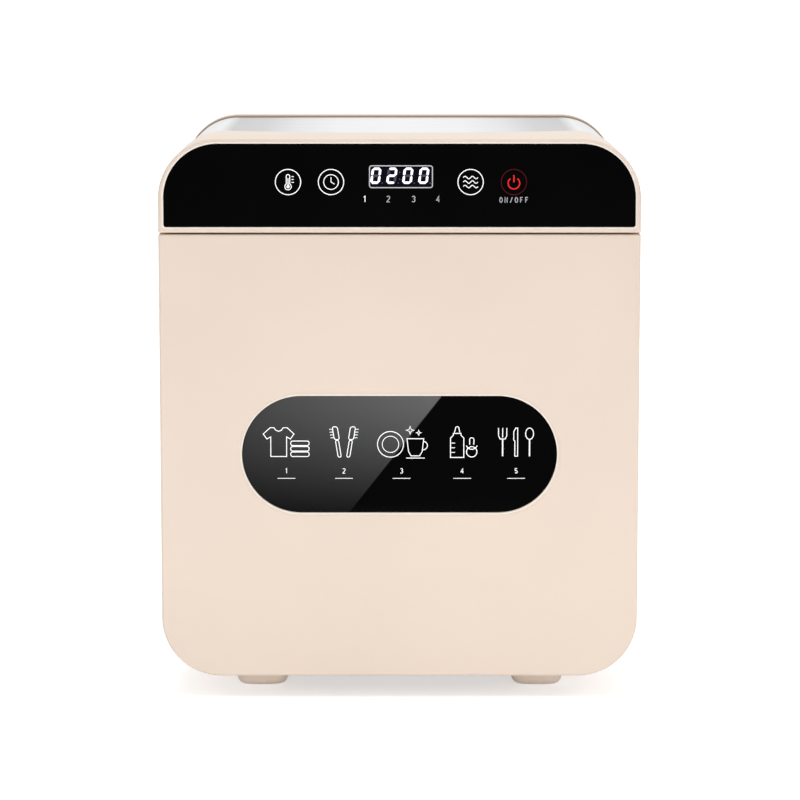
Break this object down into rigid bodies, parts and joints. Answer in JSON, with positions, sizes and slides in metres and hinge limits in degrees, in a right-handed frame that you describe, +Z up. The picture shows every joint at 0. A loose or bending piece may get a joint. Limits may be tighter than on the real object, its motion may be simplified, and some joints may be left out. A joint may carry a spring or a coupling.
{
  "type": "countertop sterilising and drying cabinet",
  "caption": "Countertop box that dries and sterilises small things: drop-down door with an oval dark window, touch fascia, steel wrap, wire rack, basket, lamp, fan and four feet.",
  "frame": {"origin": "on the table, under the middle of the closed cabinet's bounding box", "axes": "+Z up, +X to the viewer's right, +Y towards the back; the door faces -Y"},
  "size_m": [0.302, 0.28, 0.356],
  "materials": {
    "cream_plastic": "smooth satin ABS",
    "brushed_steel": "brushed along its width",
    "steel_sheet": "plain rolled sheet",
    "mirror_sheet": "bright rolled",
    "chromed_wire": "polished",
    "basket_steel": "satin",
    "pale_inner_plastic": "fine matt",
    "black_glass": "polished, back-printed black",
    "dark_rubber": "matt",
    "taupe_rubber": "matt",
    "black_plastic": "moulded matt",
    "screw_steel": "zinc plated",
    "magnet_metal": "nickel plated",
    "board_green": "solder mask",
    "lamp_glass": "clear quartz",
    "lamp_metal": "plain",
    "white_ceramic": "unglazed",
    "duct_plastic": "heat-resistant, matt",
    "ballast_case": "moulded"
  },
  "bodies": {
    "cabinet": {"air_grille": "steel_sheet", "base_plate": "steel_sheet", "board_screws": "screw_steel", "buzzer": "black_plastic", "catch_plates": "steel_sheet", "control_board": "board_green", "control_glass": "black_glass", "display_module": "black_plastic", "door_switch": "black_plastic", "fan_frame": "black_plastic", "fan_screws": "screw_steel", "foot_screws": "screw_steel", "front_feet": "taupe_rubber", "front_housing": "cream_plastic", "heater_core": "lamp_metal", "heater_duct": "duct_plastic", "hinge_brackets": "steel_sheet", "hinge_screws": "screw_steel", "inner_liner": "steel_sheet", "lamp_ballast": "ballast_case", "lamp_guard": "steel_sheet", "lamp_reflector": "mirror_sheet", "lamp_sockets": "white_ceramic", "liner_supports": "steel_sheet", "outer_sleeve": "brushed_steel", "power_board": "board_green", "power_inlet": "black_plastic", "rack_rails": "steel_sheet", "rear_cover": "cream_plastic", "rear_cover_screws": "screw_steel", "rear_feet": "taupe_rubber", "sleeve_rear_seal": "dark_rubber", "temperature_sensor": "black_plastic", "thermal_cutout": "black_plastic", "touch_pads": "screw_steel", "uv_lamp_caps": "lamp_metal", "uv_lamp_tube": "lamp_glass"},
    "door": {"door_shell": "cream_plastic", "door_window": "black_glass", "window_clips": "black_plastic", "door_inner_panel": "pale_inner_plastic", "door_gasket": "dark_rubber", "door_magnets": "magnet_metal", "door_panel_screws": "screw_steel", "hinge_pins": "screw_steel"},
    "rack": {"upper_rack": "chromed_wire"},
    "basket": {"lower_basket": "basket_steel"},
    "fan_rotor": {"fan_impeller": "black_plastic"}
  },
  "joints": [
    {"name": "door_hinge", "type": "hinge", "parent": "cabinet", "child": "door", "pos_m": [0, -0.131, 0.023], "axis": [1, 0, 0], "range_deg": [0, 90]},
    {"name": "rack_slide", "type": "slide", "parent": "cabinet", "child": "rack", "axis": [0, -1, 0], "range_m": [0, 0.1205]},
    {"name": "basket_slide", "type": "slide", "parent": "cabinet", "child": "basket", "axis": [0, -1, 0], "range_m": [0, 0.0825]},
    {"name": "fan_spin", "type": "hinge", "parent": "cabinet", "child": "fan_rotor", "pos_m": [0, 0.1205, 0.165], "axis": [0, 1, 0], "continuous": true}
  ],
  "couplings": [
    {"joint": "rack_slide", "follows": "door_hinge", "m_per_rad": 0.0764},
    {"joint": "basket_slide", "follows": "door_hinge", "m_per_rad": 0.052}
  ]
}
